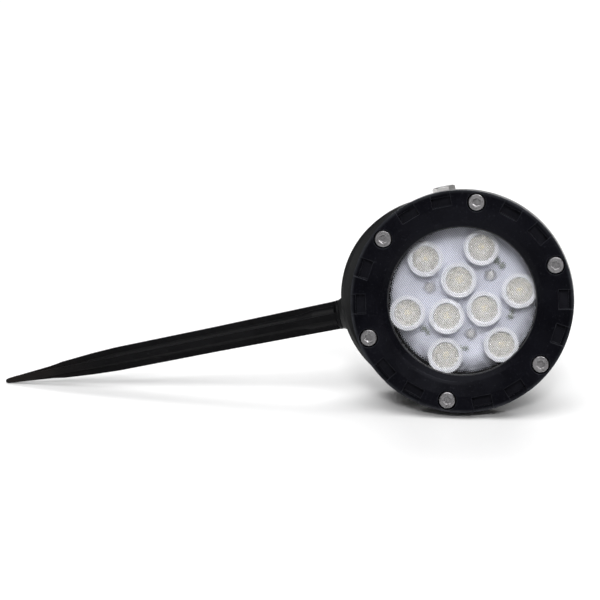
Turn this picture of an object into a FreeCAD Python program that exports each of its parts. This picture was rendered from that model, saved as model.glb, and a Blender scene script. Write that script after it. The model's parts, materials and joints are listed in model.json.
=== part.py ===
import FreeCAD, Part
import Sketcher
import math
import os

# An underwater pond light: a round lamp head that tilts in a U-shaped yoke, and a ground spike
# that the yoke swivels on. Lengths are millimetres and angles are degrees.
#
# Two working frames are used. The head frame has its origin at the centre of the housing's rear
# face, Z out of the front glass and Y along the tilt axis. The yoke frame has its origin on the
# tilt axis, Y along that axis and X away from the spike. Both are laid on the ground together at
# the end, with the rim, the yoke and the spike's tip as the three points that touch it.

os.makedirs("parts", exist_ok=True)
doc = FreeCAD.newDocument("PondLight")

DIMENSIONS = [
    # the lamp head, from its rear face forward
    ("rim_radius", 55.0),
    ("face_height", 62.0),
    ("flange_front", 52.0),
    ("flange_rear", 44.0),
    ("flange_radius", 54.6),
    ("rear_radius", 33.5),
    ("waist_radius", 37.6),
    ("waist_height", 36.5),
    ("shoulder_radius", 43.0),
    ("shoulder_height", 41.0),
    ("wall", 3.2),
    ("floor_wall", 4.0),
    ("rib_count", 18.0),
    ("rib_width", 2.4),
    ("rib_height", 1.2),
    # the bezel and its fasteners
    ("window_radius", 37.0),
    ("lip_height", 3.2),
    ("chamfer_radius", 39.8),
    ("dish_radius", 47.2),
    ("dish_depth", 0.9),
    ("glass_recess", 43.4),
    ("screw_count", 6.0),
    ("screw_pitch", 49.5),
    ("screw_head_radius", 4.25),
    ("screw_head_height", 5.0),
    ("screw_radius", 2.5),
    ("screw_reach", 10.0),
    ("screw_socket", 4.0),
    ("counterbore_radius", 4.75),
    ("counterbore_depth", 5.3),
    ("insert_radius", 3.5),
    ("insert_length", 6.4),
    ("pocket_length", 9.75),
    ("pocket_width", 4.85),
    ("pocket_radius", 49.9),
    ("pocket_depth", 4.2),
    ("notch_depth", 0.9),
    # the glass and its seals
    ("glass_radius", 43.0),
    ("glass_thick", 5.0),
    ("gasket_thick", 0.6),
    ("gasket_bore", 36.4),
    ("ring_inner", 40.3),
    ("ring_outer", 42.7),
    ("ring_groove", 1.2),
    # the light engine
    ("engine_bore", 39.3),
    ("ledge_height", 38.0),
    ("spreader_radius", 36.3),
    ("ledge_width", 4.5),
    ("spreader_thick", 3.0),
    ("board_radius", 36.2),
    ("board_thick", 1.6),
    ("outer_leds", 28.3),
    ("inner_leds", 11.0),
    ("led_shift", 1.0),
    ("chip_side", 3.5),
    ("chip_thick", 0.8),
    ("dome_radius", 1.3),
    ("holder_radius", 8.1),
    ("holder_bore", 6.75),
    ("holder_height", 8.2),
    ("holder_foot", 4.2),
    ("holder_teeth", 56.0),
    ("tooth_gap", 0.42),
    ("tooth_length", 1.0),
    ("tooth_depth", 2.0),
    ("lens_radius", 6.6),
    ("post_pitch", 17.8),
    ("post_radius", 3.4),
    ("post_shoulder", 5.2),
    # the driver
    ("driver_height", 14.0),
    ("driver_radius", 28.0),
    ("wire_radius", 0.8),
    ("wire_pitch", 25.0),
    # the cable gland
    ("cable_bore", 3.3),
    ("gland_thread", 6.0),
    ("gland_flats", 17.0),
    ("gland_collar", 4.0),
    ("gland_neck", 7.0),
    ("gland_cap", 12.0),
    ("gland_cap_radius", 8.6),
    ("seal_radius", 4.8),
    # the tilt axis, the yoke and the pivot bolts
    ("pivot_height", 27.0),
    ("yoke_offset", 3.0),
    ("yoke_half_span", 48.6),
    ("yoke_thick", 5.6),
    ("yoke_half_width", 9.0),
    ("yoke_throw", 13.4),
    ("yoke_inner_throw", 12.0),
    ("yoke_bevel", 1.8),
    ("pivot_radius", 3.0),
    ("pivot_clearance", 0.06),
    ("pivot_gap", 0.3),
    ("pivot_washer", 1.0),
    ("pivot_reach", 14.0),
    ("bolt_flats", 10.0),
    ("bolt_head", 4.0),
    ("boss_radius", 9.0),
    ("pivot_insert_radius", 4.0),
    ("pivot_insert_length", 9.0),
    # the ground spike
    ("spike_length", 176.0),
    ("spike_half_root", 7.1),
    ("fin_thick", 3.4),
    ("spike_socket_radius", 5.2),
    ("spike_insert_radius", 3.2),
    ("spike_insert_length", 9.0),
    ("spike_bolt_radius", 2.5),
    ("spike_bolt_flats", 8.0),
    ("spike_bolt_head", 3.5),
    ("root_boss_height", 1.6),
    ("root_boss_radius", 8.1),
]

# the lie of the light on the ground, and how far its head is tilted from square to the spike
ROLL = 12.61323
LEAN = 13.25192
TILT = 0.0
# the bezel is screwed on a sixth of a screw space round from the tilt axis
BEZEL_TURN = 10.0
# the posts stand between the pivots, and the wires come up beside one of them
POST_TURN = 30.0
WIRE_TURN = 3.7
WIRE_GAP = 1.8


class Size:
    """A length with its value and the sheet expression that gives it."""

    def __init__(self, value, text):
        self.value = float(value)
        self.text = text

    def _join(self, other, sign, value):
        if not isinstance(other, Size):
            other = Size(other, repr(other))
        return Size(value, "(%s %s %s)" % (self.text, sign, other.text))

    def __add__(self, other):
        return self._join(other, "+", self.value + number(other))

    def __radd__(self, other):
        return self._join(other, "+", self.value + number(other))

    def __sub__(self, other):
        return self._join(other, "-", self.value - number(other))

    def __rsub__(self, other):
        return Size(number(other) - self.value, "(%r - %s)" % (other, self.text))

    def __mul__(self, factor):
        return self._join(factor, "*", self.value * number(factor))

    def __truediv__(self, factor):
        return self._join(factor, "/", self.value / number(factor))

    def __neg__(self):
        return Size(-self.value, "(0 - %s)" % self.text)


def number(size):
    return size.value if isinstance(size, Size) else float(size)


class Cells:
    """The driving dimensions, each an attribute with the name of its alias."""


sheet = doc.addObject("Spreadsheet::Sheet", "Sizes")
cell = Cells()
for row, (alias, value) in enumerate(DIMENSIONS, start=1):
    sheet.set("A%d" % row, alias)
    sheet.set("B%d" % row, "%g" % value)
    sheet.setAlias("B%d" % row, alias)
    setattr(cell, alias, Size(value, "Sizes." + alias))
doc.recompute()


# ---------------------------------------------------------------- working tools

def bind(feature, name, size):
    """Sets a property to a size and binds it to the sheet."""
    if isinstance(size, Size):
        feature.setExpression(name, size.text)
    else:
        setattr(feature, name, size)


def new_body(label):
    body = doc.addObject("PartDesign::Body", label)
    body.Label = label
    return body


def origin_feature(body, role):
    return next(item for item in body.Origin.OriginFeatures if item.Role == role)


def new_sketch(body, name, plane="XY_Plane", shift=(0, 0, 0)):
    """A sketch on one of the body's own planes, moved in the sketch's own directions."""
    sketch = body.newObject("Sketcher::SketchObject", name)
    sketch.AttachmentSupport = (origin_feature(body, plane), [""])
    sketch.MapMode = "FlatFace"
    for letter, size in zip("xyz", shift):
        if isinstance(size, Size):
            sketch.setExpression("AttachmentOffset.Base." + letter, size.text)
        elif size:
            base = sketch.AttachmentOffset.Base
            setattr(base, letter, float(size))
            sketch.AttachmentOffset = FreeCAD.Placement(base, FreeCAD.Rotation())
    return sketch


def hold(sketch, constraint, size):
    index = sketch.addConstraint(constraint)
    if isinstance(size, Size):
        sketch.setExpression("Constraints[%d]" % index, size.text)


def fix_point(sketch, edge, end, across, along):
    """Holds one end of a sketch edge at a distance from the sketch's origin."""
    hold(sketch, Sketcher.Constraint("DistanceX", -1, 1, edge, end, number(across)), across)
    hold(sketch, Sketcher.Constraint("DistanceY", -1, 1, edge, end, number(along)), along)


def outline(sketch, corners):
    """A closed outline of straight lines through the corners."""
    places = [FreeCAD.Vector(number(a), number(b), 0) for a, b in corners]
    first = None
    for start, end in zip(places, places[1:] + places[:1]):
        edge = sketch.addGeometry(Part.LineSegment(start, end), False)
        first = edge if first is None else first
    count = len(corners)
    for step in range(count):
        after = (step + 1) % count
        sketch.addConstraint(Sketcher.Constraint("Coincident", first + step, 2, first + after, 1))
    for step, (across, along) in enumerate(corners):
        fix_point(sketch, first + step, 1, across, along)


def ring(sketch, radius, across=0.0, along=0.0):
    """A circle with its centre at the given place."""
    centre = FreeCAD.Vector(number(across), number(along), 0)
    circle = Part.Circle(centre, FreeCAD.Vector(0, 0, 1), number(radius))
    edge = sketch.addGeometry(circle, False)
    hold(sketch, Sketcher.Constraint("Radius", edge, number(radius)), radius)
    fix_point(sketch, edge, 3, across, along)


def box_outline(sketch, length, width, across=0.0, along=0.0):
    """A rectangle about a place, its length across and its width along."""
    left, right = across - length / 2, across + length / 2
    low, high = along - width / 2, along + width / 2
    outline(sketch, [(left, low), (right, low), (right, high), (left, high)])


def hexagon(sketch, flats, across=0.0, along=0.0):
    """A hexagon with the given distance across its flats."""
    corner = flats / 2 / math.cos(math.pi / 6)
    corners = []
    for step in range(6):
        turn = math.radians(60 * step)
        corners.append((corner * math.cos(turn) + across, corner * math.sin(turn) + along))
    outline(sketch, corners)


def pad(body, sketch, length, both_ways=False, backward=False):
    feature = body.newObject("PartDesign::Pad", sketch.Name + "Pad")
    feature.Profile = sketch
    bind(feature, "Length", length)
    feature.Midplane = both_ways
    feature.Reversed = backward
    return feature


def pocket(body, sketch, depth, forward=False, both_ways=False):
    """A cut against the sketch's normal, or along it when forward is set."""
    feature = body.newObject("PartDesign::Pocket", sketch.Name + "Cut")
    feature.Profile = sketch
    bind(feature, "Length", depth)
    feature.Midplane = both_ways
    feature.Reversed = forward
    return feature


def turned(body, name, corners, shift=(0, 0, 0), cut=False, plane="XZ_Plane", axis="V_Axis"):
    """A shape turned about one of the sketch's axes from its outline, added or cut."""
    sketch = new_sketch(body, name, plane, shift)
    outline(sketch, corners)
    kind = "PartDesign::Groove" if cut else "PartDesign::Revolution"
    feature = body.newObject(kind, name + "Turn")
    feature.Profile = sketch
    feature.ReferenceAxis = (sketch, [axis])
    feature.Angle = 360.0
    return feature


def around(body, features, count, name):
    """Repeats features evenly round the body's Z axis."""
    pattern = body.newObject("PartDesign::PolarPattern", name)
    pattern.Originals = features
    pattern.Axis = (origin_feature(body, "Z_Axis"), [""])
    pattern.Angle = 360.0
    if isinstance(count, Size):
        pattern.setExpression("Occurrences", count.text)
    else:
        pattern.Occurrences = count
    body.Tip = pattern
    return pattern


def rounded(body, name, radius, wanted, kind="PartDesign::Fillet"):
    """Rounds or bevels the edges of the body so far that the test picks."""
    doc.recompute()
    base = body.Tip
    edges = ["Edge%d" % n for n, edge in enumerate(base.Shape.Edges, start=1) if wanted(edge)]
    if not edges:
        raise RuntimeError("no edge to round on " + body.Label)
    feature = body.newObject(kind, name)
    feature.Base = (base, edges)
    bind(feature, "Radius" if kind.endswith("Fillet") else "Size", radius)
    body.Tip = feature
    return feature


def circle_at(radius, height):
    """A test for the circular edge about Z with that radius and height."""
    def test(edge):
        curve = edge.Curve
        if not isinstance(curve, Part.Circle):
            return False
        near = abs(curve.Radius - number(radius)) < 1e-3
        centred = math.hypot(curve.Center.x, curve.Center.y) < 1e-3
        return near and centred and abs(curve.Center.z - number(height)) < 1e-3
    return test


# ---------------------------------------------------------------- placements

def head_placement():
    """Where the head frame lies: leant back and rolled, with its lowest point on the ground."""
    roll = math.radians(ROLL)
    lean = math.radians(LEAN)
    right = FreeCAD.Vector(1, 0, 0)
    up = FreeCAD.Vector(0, math.sin(lean), math.cos(lean))
    front = FreeCAD.Vector(0, -math.cos(lean), math.sin(lean))
    across = right * math.cos(roll) + up * math.sin(roll)
    axis = up * math.cos(roll) - right * math.sin(roll)
    return FreeCAD.Placement(FreeCAD.Vector(0, 0, 0), FreeCAD.Rotation(across, axis, front, "XYZ"))


def yoke_placement():
    """Where the yoke frame lies in the head frame, turned back about the tilt axis."""
    pivot = FreeCAD.Vector(0, cell.yoke_offset.value, cell.pivot_height.value)
    return FreeCAD.Placement(pivot, FreeCAD.Rotation(FreeCAD.Vector(0, 1, 0), -TILT))


def spike_placement():
    """The spike's own frame in the yoke frame: its Z runs from the root to the point."""
    root = cell.yoke_throw + cell.yoke_half_span + cell.root_boss_height + cell.pivot_gap
    turn = FreeCAD.Rotation(
        FreeCAD.Vector(0, 0, 1), FreeCAD.Vector(0, 1, 0), FreeCAD.Vector(-1, 0, 0), "ZYX")
    return FreeCAD.Placement(FreeCAD.Vector(-root.value, 0, 0), turn)


HEAD = head_placement()
YOKE = HEAD.multiply(yoke_placement())
SPIKE = YOKE.multiply(spike_placement())
made = []


def put(body, frame, place=(0, 0, 0), turn=0.0):
    """Places a finished sub-part in its frame, turned about that frame's Z axis."""
    local = FreeCAD.Placement(FreeCAD.Vector(*place), FreeCAD.Rotation(FreeCAD.Vector(0, 0, 1), turn))
    body.Placement = frame.multiply(local)
    made.append(body)
    return body


# ---------------------------------------------------------------- lamp head

def make_housing():
    body = new_body("rear_housing")
    turned(body, "Shell", [
        (0, 0), (cell.rear_radius, 0), (cell.waist_radius, cell.waist_height),
        (cell.shoulder_radius, cell.shoulder_height), (cell.shoulder_radius, cell.flange_rear),
        (cell.flange_radius, cell.flange_rear), (cell.flange_radius, cell.flange_front),
        (0, cell.flange_front)])
    # cooling ribs down the side, clear of the two pivot bosses
    rib = new_sketch(body, "Rib", "XZ_Plane")
    outline(rib, [
        (cell.rear_radius - 4, 5), (cell.rear_radius + cell.rib_height + 0.5, 5),
        (cell.waist_radius + cell.rib_height, cell.waist_height - 1.5),
        (cell.shoulder_radius, cell.shoulder_height + 1), (cell.rear_radius - 4, cell.flange_rear)])
    rib_pad = pad(body, rib, cell.rib_width, both_ways=True)
    around(body, [rib_pad], cell.rib_count, "Ribs")
    # pivot bosses, the upper one longer, each with a flat for its washer
    upper, lower = boss_reaches()
    for name, reach, backward in (("UpperBoss", upper, True), ("LowerBoss", lower, False)):
        boss = new_sketch(body, name, "XZ_Plane")
        ring(boss, cell.boss_radius, 0, cell.pivot_height)
        pad(body, boss, reach, backward=backward)
    # the cavity, wide at the front for the light engine
    ledge_bore = cell.engine_bore - cell.ledge_width
    turned(body, "Cavity", [
        (0, cell.floor_wall), (cell.rear_radius - cell.wall, cell.floor_wall),
        (cell.waist_radius - cell.wall, cell.waist_height - 1), (ledge_bore, cell.ledge_height - 1),
        (ledge_bore, cell.ledge_height), (cell.engine_bore, cell.ledge_height),
        (cell.engine_bore, cell.flange_front + 1), (0, cell.flange_front + 1)], cut=True)
    # inner ends of the pivot bosses, put back in the cavity
    for name, reach, side in (("UpperSeat", upper, 1), ("LowerSeat", lower, -1)):
        seat = new_sketch(body, name, "XZ_Plane", (0, 0, (reach - 11.0) * -side))
        ring(seat, cell.pivot_insert_radius + 3, 0, cell.pivot_height)
        pad(body, seat, 8.0, backward=side > 0)
    for name, reach, side in (("UpperSocket", upper, 1), ("LowerSocket", lower, -1)):
        socket = new_sketch(body, name, "XZ_Plane", (0, 0, reach * -side))
        ring(socket, cell.pivot_insert_radius, 0, cell.pivot_height)
        pocket(body, socket, cell.pivot_insert_length + 0.4, forward=side > 0)
    # three stepped posts that carry the driver and the light engine
    turn = math.radians(POST_TURN)
    post_place = cell.post_pitch * math.cos(turn), cell.post_pitch * math.sin(turn)
    post = new_sketch(body, "Post", shift=(0, 0, cell.floor_wall))
    ring(post, cell.post_radius, *post_place)
    post_pad = pad(body, post, cell.ledge_height - cell.floor_wall)
    step = new_sketch(body, "PostStep", shift=(0, 0, cell.floor_wall))
    ring(step, cell.post_shoulder, *post_place)
    step_pad = pad(body, step, cell.driver_height - cell.floor_wall)
    hole = new_sketch(body, "PostHole", shift=(0, 0, cell.ledge_height))
    ring(hole, 1.5, *post_place)
    hole_cut = pocket(body, hole, 10.0)
    around(body, [post_pad, step_pad, hole_cut], 3, "Posts")
    # the ring groove under the glass, and the cable gland's hole with its own groove
    turned(body, "RingGroove", [
        (cell.ring_inner, cell.flange_front - cell.ring_groove),
        (cell.ring_outer, cell.flange_front - cell.ring_groove),
        (cell.ring_outer, cell.flange_front + 1), (cell.ring_inner, cell.flange_front + 1)], cut=True)
    turned(body, "GlandHole", [
        (0, -1), (cell.gland_thread + 2.4, -1), (cell.gland_thread + 2.4, 1.2),
        (cell.gland_thread + 0.6, 1.2),
        (cell.gland_thread + 0.6, 0.6), (cell.gland_thread, 0.6), (cell.gland_thread, cell.floor_wall + 1),
        (0, cell.floor_wall + 1)], cut=True)
    # blind holes for the threaded inserts under the bezel screws
    turn = math.radians(BEZEL_TURN)
    insert = new_sketch(body, "InsertHole", shift=(0, 0, cell.flange_front))
    ring(insert, cell.insert_radius, cell.screw_pitch * math.cos(turn), cell.screw_pitch * math.sin(turn))
    insert_cut = pocket(body, insert, cell.insert_length + 0.3)
    around(body, [insert_cut], cell.screw_count, "InsertHoles")
    rounded(body, "RearRound", 3.0, circle_at(cell.rear_radius, 0))
    rounded(body, "FlangeRound", 1.5, circle_at(cell.flange_radius, cell.flange_rear))
    return put(body, HEAD)


def make_bezel():
    body = new_body("bezel_ring")
    lip = cell.face_height - cell.lip_height
    turned(body, "Ring", [
        (cell.window_radius, lip), (cell.window_radius, lip + 0.5),
        (cell.chamfer_radius, cell.face_height - cell.dish_depth - 0.3),
        (cell.chamfer_radius + 1.6, cell.face_height - cell.dish_depth),
        (cell.dish_radius, cell.face_height), (cell.rim_radius, cell.face_height),
        (cell.rim_radius, cell.flange_front), (cell.glass_recess, cell.flange_front),
        (cell.glass_recess, lip)])
    # counterbored screw holes
    bore = new_sketch(body, "Counterbore", shift=(0, 0, cell.face_height))
    ring(bore, cell.counterbore_radius, cell.screw_pitch)
    bore_cut = pocket(body, bore, cell.counterbore_depth)
    through = new_sketch(body, "ScrewHole", shift=(0, 0, cell.face_height))
    ring(through, cell.screw_radius + 0.25, cell.screw_pitch)
    through_cut = pocket(body, through, cell.face_height - cell.flange_front + 1)
    around(body, [bore_cut, through_cut], cell.screw_count, "ScrewHoles")
    # two pockets between each pair of screws, each with a shallow notch out to the rim
    features = []
    for step, angle in enumerate((20, 40)):
        turn = math.radians(angle)
        recess = new_sketch(body, "Pocket%d" % step, shift=(0, 0, cell.face_height))
        slanted_box(recess, cell.pocket_length, cell.pocket_width, cell.pocket_radius, turn)
        features.append(pocket(body, recess, cell.pocket_depth))
        notch = new_sketch(body, "Notch%d" % step, shift=(0, 0, cell.face_height))
        slanted_box(notch, cell.pocket_length, 4.0, cell.rim_radius - 0.6, turn)
        features.append(pocket(body, notch, cell.notch_depth))
    around(body, features, cell.screw_count, "Pockets")
    rounded(body, "BackEdge", 0.5, circle_at(cell.rim_radius, cell.flange_front))
    return put(body, HEAD, turn=BEZEL_TURN)


def slanted_box(sketch, length, width, radius, turn):
    """A rectangle square to the radius at an angle from X, its middle at that radius."""
    corners = []
    for along, side in ((-1, -1), (-1, 1), (1, 1), (1, -1)):
        out = radius + width * side / 2
        across = length * along / 2
        corners.append((out * math.cos(turn) - across * math.sin(turn),
                        out * math.sin(turn) + across * math.cos(turn)))
    outline(sketch, corners)


def make_bezel_screws():
    """Six socket cap screws, their heads down in the counterbores."""
    body = new_body("bezel_screws")
    seat = cell.face_height - cell.counterbore_depth
    top = seat + cell.screw_head_height
    screw = turned(body, "Screw", [
        (0, cell.flange_front - cell.screw_reach / 2),
        (cell.screw_radius - 0.4, cell.flange_front - cell.screw_reach / 2),
        (cell.screw_radius, cell.flange_front - cell.screw_reach / 2 + 0.4), (cell.screw_radius, seat),
        (cell.screw_head_radius, seat), (cell.screw_head_radius, top - 0.5),
        (cell.screw_head_radius - 0.5, top), (0, top)], shift=(cell.screw_pitch, 0, 0))
    socket = new_sketch(body, "Socket", shift=(0, 0, top))
    hexagon(socket, cell.screw_socket, cell.screw_pitch)
    socket_cut = pocket(body, socket, 2.6)
    around(body, [screw, socket_cut], cell.screw_count, "Screws")
    return put(body, HEAD, turn=BEZEL_TURN)


def make_threaded_inserts():
    body = new_body("threaded_inserts")
    foot = cell.flange_front - cell.insert_length
    sleeve = turned(body, "Sleeve", [
        (cell.screw_radius, foot), (cell.insert_radius, foot), (cell.insert_radius, cell.flange_front),
        (cell.screw_radius, cell.flange_front)], shift=(cell.screw_pitch, 0, 0))
    around(body, [sleeve], cell.screw_count, "Sleeves")
    return put(body, HEAD, turn=BEZEL_TURN)


def make_glass():
    body = new_body("front_glass")
    top = cell.face_height - cell.lip_height - cell.gasket_thick
    turned(body, "Disc", [
        (0, top - cell.glass_thick), (cell.glass_radius - 0.4, top - cell.glass_thick),
        (cell.glass_radius, top - cell.glass_thick + 0.4), (cell.glass_radius, top - 0.4),
        (cell.glass_radius - 0.4, top), (0, top)])
    return put(body, HEAD)


def make_gasket():
    """The flat ring that shows as a thin line round the window."""
    body = new_body("glass_gasket")
    top = cell.face_height - cell.lip_height
    turned(body, "Flat", [
        (cell.gasket_bore, top - cell.gasket_thick), (cell.glass_radius - 0.5, top - cell.gasket_thick),
        (cell.glass_radius - 0.5, top), (cell.gasket_bore, top)])
    return put(body, HEAD)


def soft_ring(label, inner, outer, low, high, frame):
    """A squeezed sealing ring with bevelled corners."""
    body = new_body(label)
    corner = 0.5
    turned(body, "Section", [
        (inner + corner, low), (outer - corner, low), (outer, low + corner), (outer, high - corner),
        (outer - corner, high), (inner + corner, high), (inner, high - corner), (inner, low + corner)])
    return put(body, frame)


# ---------------------------------------------------------------- light engine

def screw_circle(body, name, radius, pitch, top, depth):
    """Three holes at the posts' places."""
    sketch = new_sketch(body, name, shift=(0, 0, top))
    ring(sketch, radius, pitch)
    return around(body, [pocket(body, sketch, depth)], 3, name + "s")


def wire_holes(body, name, radius, top, depth):
    """Two holes for the lead wires, a wire apart either side of their line."""
    turn = math.radians(WIRE_TURN)
    sketch = new_sketch(body, name, shift=(0, 0, top))
    for side in (-1, 1):
        gap = WIRE_GAP * side
        ring(sketch, radius, cell.wire_pitch * math.cos(turn) - gap * math.sin(turn),
             cell.wire_pitch * math.sin(turn) + gap * math.cos(turn))
    return pocket(body, sketch, depth)


def make_spreader():
    body = new_body("heat_spreader")
    top = cell.ledge_height + cell.spreader_thick
    turned(body, "Disc", [
        (0, cell.ledge_height), (cell.spreader_radius, cell.ledge_height), (cell.spreader_radius, top),
        (0, top)])
    wire_holes(body, "WireHole", cell.wire_radius + 0.5, top, cell.spreader_thick + 1)
    screw_circle(body, "ScrewHole", 1.6, cell.post_pitch, top, cell.spreader_thick + 1)
    return put(body, HEAD, turn=POST_TURN)


def make_board():
    body = new_body("led_board")
    low = cell.ledge_height + cell.spreader_thick
    top = low + cell.board_thick
    turned(body, "Disc", [(0, low), (cell.board_radius, low), (cell.board_radius, top), (0, top)])
    wire_holes(body, "WireHole", cell.wire_radius, top, cell.board_thick + 1)
    screw_circle(body, "ScrewHole", 1.6, cell.post_pitch, top, cell.board_thick + 1)
    return put(body, HEAD, turn=POST_TURN)


def make_board_screws():
    """Three pan-head screws through the board and the spreader into the posts."""
    body = new_body("board_screws")
    seat = cell.ledge_height + cell.spreader_thick + cell.board_thick
    foot = cell.ledge_height - 8
    screw = turned(body, "Screw", [
        (0, foot), (1.1, foot), (1.5, foot + 0.5), (1.5, seat), (2.8, seat), (2.8, seat + 0.9),
        (2.0, seat + 1.8), (0, seat + 2.0)], shift=(cell.post_pitch, 0, 0))
    slots = new_sketch(body, "Cross", shift=(0, 0, seat + 2.0))
    box_outline(slots, 2.6, 0.7, cell.post_pitch)
    long_cut = pocket(body, slots, 1.0)
    other = new_sketch(body, "CrossWay", shift=(0, 0, seat + 2.0))
    box_outline(other, 0.7, 2.6, cell.post_pitch)
    cross_cut = pocket(body, other, 1.0)
    around(body, [screw, long_cut, cross_cut], 3, "Screws")
    return put(body, HEAD, turn=POST_TURN)


def led_places():
    """The nine lamp centres: a ring of six and a triangle of three, numbered from the ring."""
    places = []
    for count, radius, first in ((6, cell.outer_leds.value, 0.0), (3, cell.inner_leds.value, 90.0)):
        for step in range(count):
            turn = math.radians(first + 360.0 * step / count)
            places.append((radius * math.cos(turn), radius * math.sin(turn) - cell.led_shift.value))
    return places


def make_chip(index, place):
    body = new_body("led_chip_%d" % index)
    base = new_sketch(body, "Base")
    box_outline(base, cell.chip_side, cell.chip_side)
    pad(body, base, cell.chip_thick)
    dome = cell.dome_radius
    turned(body, "Dome", [
        (0, cell.chip_thick - 0.2), (dome, cell.chip_thick - 0.2), (dome, cell.chip_thick + 0.3),
        (dome * 0.72, cell.chip_thick + dome * 0.75), (0, cell.chip_thick + dome)])
    return put(body, HEAD, place)


def make_holder(index, place):
    """A white cup that centres the lens over its chip, with a toothed rim."""
    body = new_body("lens_holder_%d" % index)
    top = cell.holder_height
    turned(body, "Cup", [
        (cell.holder_foot, 0), (cell.holder_radius - 1.6, 0), (cell.holder_radius, top - 3),
        (cell.holder_radius, top - 0.3), (cell.holder_radius - 0.3, top), (cell.holder_bore, top),
        (cell.holder_bore, top - 1.8), (cell.holder_bore - 0.5, top - 1.8), (cell.holder_foot, 1.6)])
    tooth = new_sketch(body, "Tooth", shift=(0, 0, top))
    box_outline(tooth, cell.tooth_length, cell.tooth_gap, cell.holder_radius)
    cut = pocket(body, tooth, cell.tooth_depth)
    around(body, [cut], cell.holder_teeth, "Teeth")
    return put(body, HEAD, place)


def make_lens(index, place):
    """A collimating lens: a cone that stands on the cup's step, hollow over the chip."""
    body = new_body("led_lens_%d" % index)
    seat = cell.holder_height - 1.8
    nose = 1.8
    turned(body, "Cone", [
        (0, 3.4), (1.7, 3.0), (2.1, nose), (3.2, nose), (cell.holder_bore - 1.1, seat - 0.4),
        (cell.holder_bore - 1.1, seat), (cell.lens_radius, seat), (cell.lens_radius, seat + 0.8),
        (cell.lens_radius - 0.5, seat + 1.2), (3.0, seat + 1.5), (0, seat + 1.6)])
    return put(body, HEAD, place)


# ---------------------------------------------------------------- driver

def make_driver_board():
    body = new_body("driver_board")
    low = cell.driver_height
    top = low + cell.board_thick
    turned(body, "Disc", [(0, low), (cell.driver_radius, low), (cell.driver_radius, top), (0, top)])
    screw_circle(body, "PostHole", cell.post_radius + 0.1, cell.post_pitch, top, cell.board_thick + 1)
    return put(body, HEAD, turn=POST_TURN)


def make_driver_spacers():
    """Three tubes over the posts that hold the driver board down."""
    body = new_body("driver_spacers")
    low = cell.driver_height + cell.board_thick
    tube = turned(body, "Tube", [
        (cell.post_radius, low), (cell.post_shoulder - 0.4, low),
        (cell.post_shoulder - 0.4, cell.ledge_height),
        (cell.post_radius, cell.ledge_height)], shift=(cell.post_pitch, 0, 0))
    around(body, [tube], 3, "Tubes")
    return put(body, HEAD, turn=POST_TURN)


def make_inductor():
    """A wound drum with two cheeks."""
    body = new_body("driver_inductor")
    low = cell.driver_height + cell.board_thick
    turned(body, "Drum", [
        (0, low), (6.0, low), (6.0, low + 1.5), (4.8, low + 1.5), (4.8, low + 7.5), (6.0, low + 7.5),
        (6.0, low + 9.0), (0, low + 9.0)])
    return put(body, HEAD, (-8.5, -8.5, 0))


def make_capacitor():
    body = new_body("driver_capacitor")
    low = cell.driver_height + cell.board_thick
    turned(body, "Can", [
        (0, low), (5.0, low), (5.0, low + 1.6), (4.6, low + 2.0), (5.0, low + 2.4), (5.0, low + 13.5),
        (4.6, low + 14.0), (0, low + 14.0)])
    return put(body, HEAD, (9.0, -9.5, 0))


def make_rectifier():
    body = new_body("driver_rectifier")
    case = new_sketch(body, "Case", shift=(0, 0, cell.driver_height + cell.board_thick))
    box_outline(case, 8.0, 6.0)
    pad(body, case, 2.6)
    return put(body, HEAD, (-6.0, 10.0, 0))


def make_lead_wires():
    """The two wires from the driver up to the light board."""
    body = new_body("lead_wires")
    low = cell.driver_height + cell.board_thick
    top = cell.ledge_height + cell.spreader_thick + cell.board_thick + 0.7
    sketch = new_sketch(body, "Wires", shift=(0, 0, low))
    turn = math.radians(WIRE_TURN)
    for side in (-1, 1):
        gap = WIRE_GAP * side
        ring(sketch, cell.wire_radius, cell.wire_pitch * math.cos(turn) - gap * math.sin(turn),
             cell.wire_pitch * math.sin(turn) + gap * math.cos(turn))
    pad(body, sketch, top - low)
    return put(body, HEAD, turn=POST_TURN)


# ---------------------------------------------------------------- cable gland

def make_gland_body():
    """The threaded sleeve through the rear wall, with a hexagon collar outside."""
    body = new_body("gland_body")
    reach = cell.floor_wall + 5
    tail = cell.gland_collar + cell.gland_neck
    collar = new_sketch(body, "Collar", shift=(0, 0, -cell.gland_collar))
    hexagon(collar, cell.gland_flats)
    pad(body, collar, cell.gland_collar)
    turned(body, "Sleeve", [
        (0, -tail), (cell.gland_thread, -tail), (cell.gland_thread, reach), (0, reach)])
    turned(body, "Bore", [
        (0, -tail - 1), (cell.seal_radius, -tail - 1), (cell.seal_radius, 3 - tail),
        (cell.cable_bore, 4.2 - tail),
        (cell.cable_bore, reach + 1), (0, reach + 1)], cut=True)
    return put(body, HEAD)


def make_gland_seal():
    """The rubber bush that grips a cord."""
    body = new_body("gland_seal")
    tail = cell.gland_collar + cell.gland_neck
    turned(body, "Bush", [
        (cell.cable_bore, 3.0 - tail), (cell.cable_bore, -tail - 2.5), (cell.seal_radius, -tail - 2.5),
        (cell.seal_radius, 3.0 - tail)])
    return put(body, HEAD)


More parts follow.
